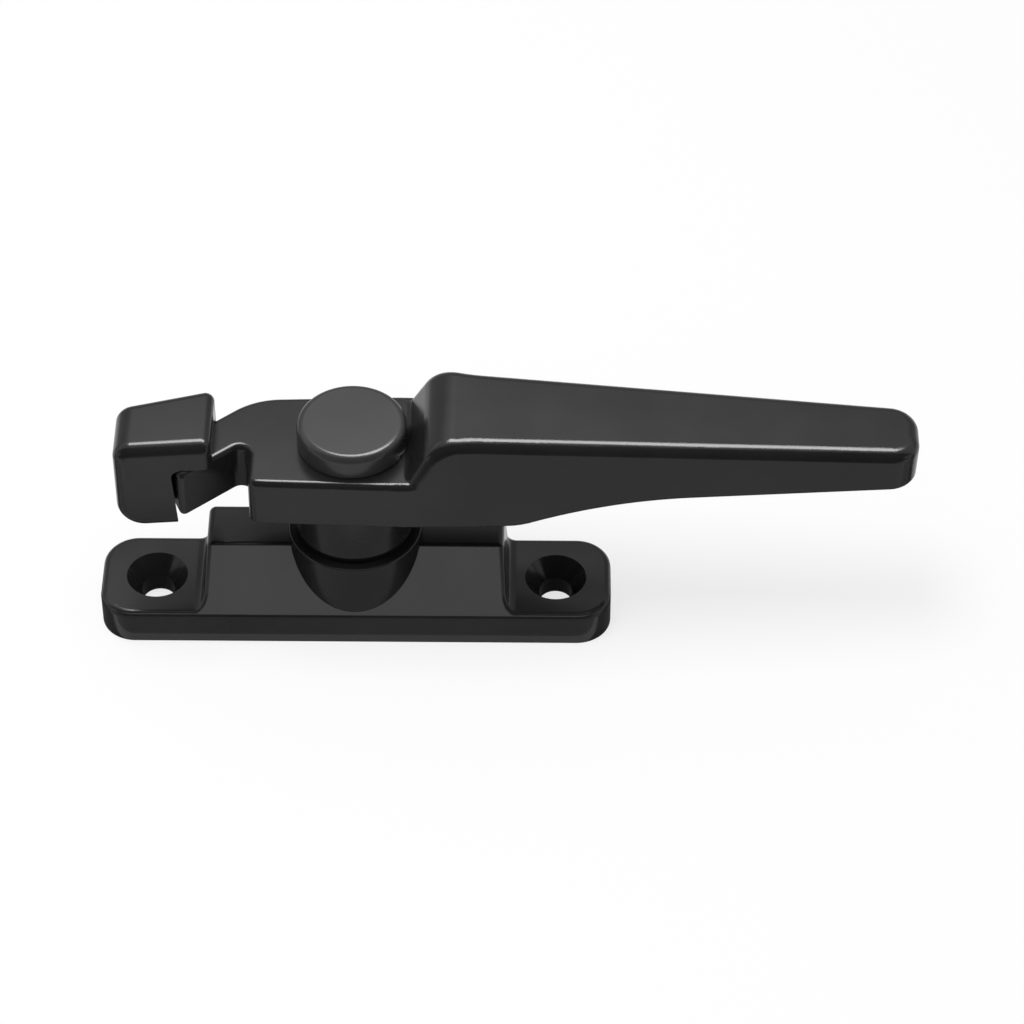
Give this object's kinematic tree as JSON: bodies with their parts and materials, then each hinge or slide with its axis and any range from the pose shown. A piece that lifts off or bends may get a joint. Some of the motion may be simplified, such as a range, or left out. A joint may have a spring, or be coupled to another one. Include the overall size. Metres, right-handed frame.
{
  "type": "window handle lock",
  "caption": "Cast window handle lock: a stepped lever turns on a base with countersunk fixing holes and swings a nose block over a keeper.",
  "frame": {"origin": "midway between the two fixing holes, on the mounting face", "axes": "+Z away from the window, +X along the base towards the lever's tip, the base's slope faces -Y"},
  "size_m": [0.1212, 0.0215, 0.0384],
  "materials": {
    "coated_casting": "satin black powder coat on zinc casting",
    "coated_cap": "satin black coat on a pressed cap",
    "nylon": "black nylon",
    "steel": "bright steel"
  },
  "bodies": {
    "base_body": {"base": "coated_casting", "pivot_bush": "nylon", "disc_spring": "steel"},
    "lever_body": {"handle_lever": "coated_casting", "nose_block": "coated_casting", "nose_pin": "steel", "pivot_cap": "coated_cap", "spindle": "steel", "stop_washer": "steel", "retaining_ring": "steel"}
  },
  "joints": [
    {"name": "lever_turn", "type": "hinge", "parent": "base_body", "child": "lever_body", "pos_m": [0, 0.00275, 0.01545], "axis": [0, 0, 1], "range_deg": [0, 90]}
  ]
}
